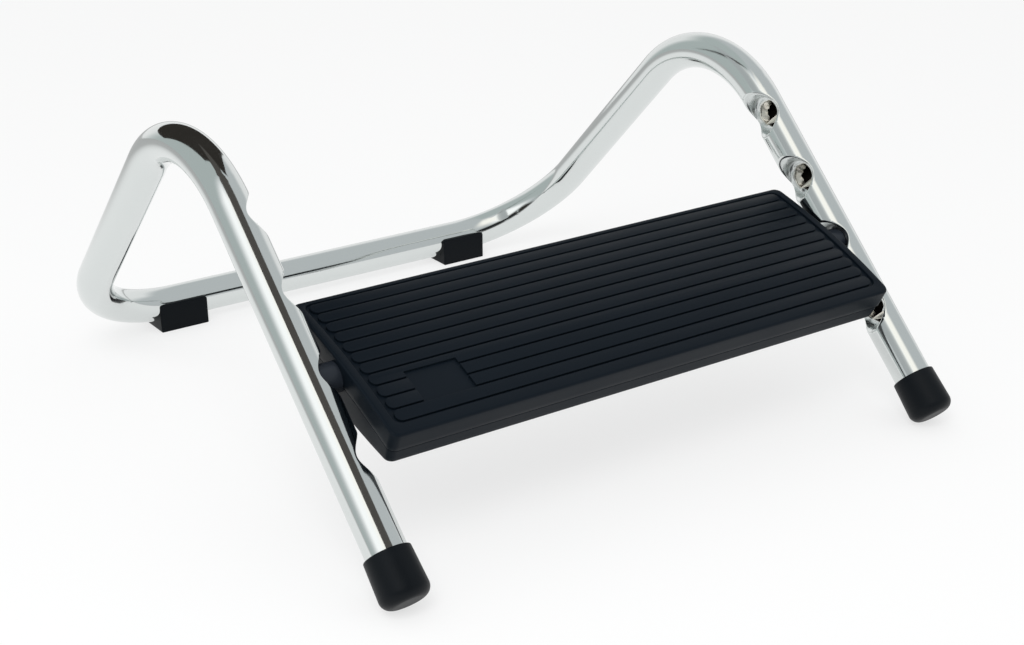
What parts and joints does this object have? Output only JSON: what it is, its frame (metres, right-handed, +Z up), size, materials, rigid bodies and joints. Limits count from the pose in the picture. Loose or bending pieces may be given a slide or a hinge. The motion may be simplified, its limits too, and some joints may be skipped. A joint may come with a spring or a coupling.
{
  "type": "footrest",
  "caption": "Footrest with a crowned, ribbed tread that tilts on pins in pressed sockets between the legs of a bent chromed tube frame.",
  "frame": {"origin": "on the floor, at the middle of the footprint: halfway between the two sides, and halfway from the front of the tips to the back of the glides", "axes": "+X across the footrest to the right, +Y from its front, the low edge of the tread, to its rear bar, +Z up"},
  "size_m": [0.3858, 0.4243, 0.1905],
  "materials": {
    "chromed_tube": "bright chrome plate on a round steel tube",
    "rubber_tip": "satin black moulded rubber",
    "glide_plastic": "smooth satin near-black moulded plastic",
    "tread_plastic": "fine-grained satin slate-black moulded plastic",
    "plug_plastic": "smooth satin slate-black moulded plastic",
    "screw_steel": "zinc-plated steel"
  },
  "bodies": {
    "frame": {"frame_tube_left": "chromed_tube", "frame_tube_right": "chromed_tube", "tip_left": "rubber_tip", "tip_right": "rubber_tip", "glide_left": "glide_plastic", "glide_right": "glide_plastic"},
    "tread": {"tread_cover": "tread_plastic", "tread_base": "tread_plastic", "pivot_plug_left": "plug_plastic", "pivot_plug_right": "plug_plastic", "tread_screws": "screw_steel"}
  },
  "joints": [
    {"name": "tread_tilt", "type": "hinge", "parent": "frame", "child": "tread", "pos_m": [0, -0.11877, 0.08954], "axis": [1, 0, 0], "continuous": true}
  ]
}
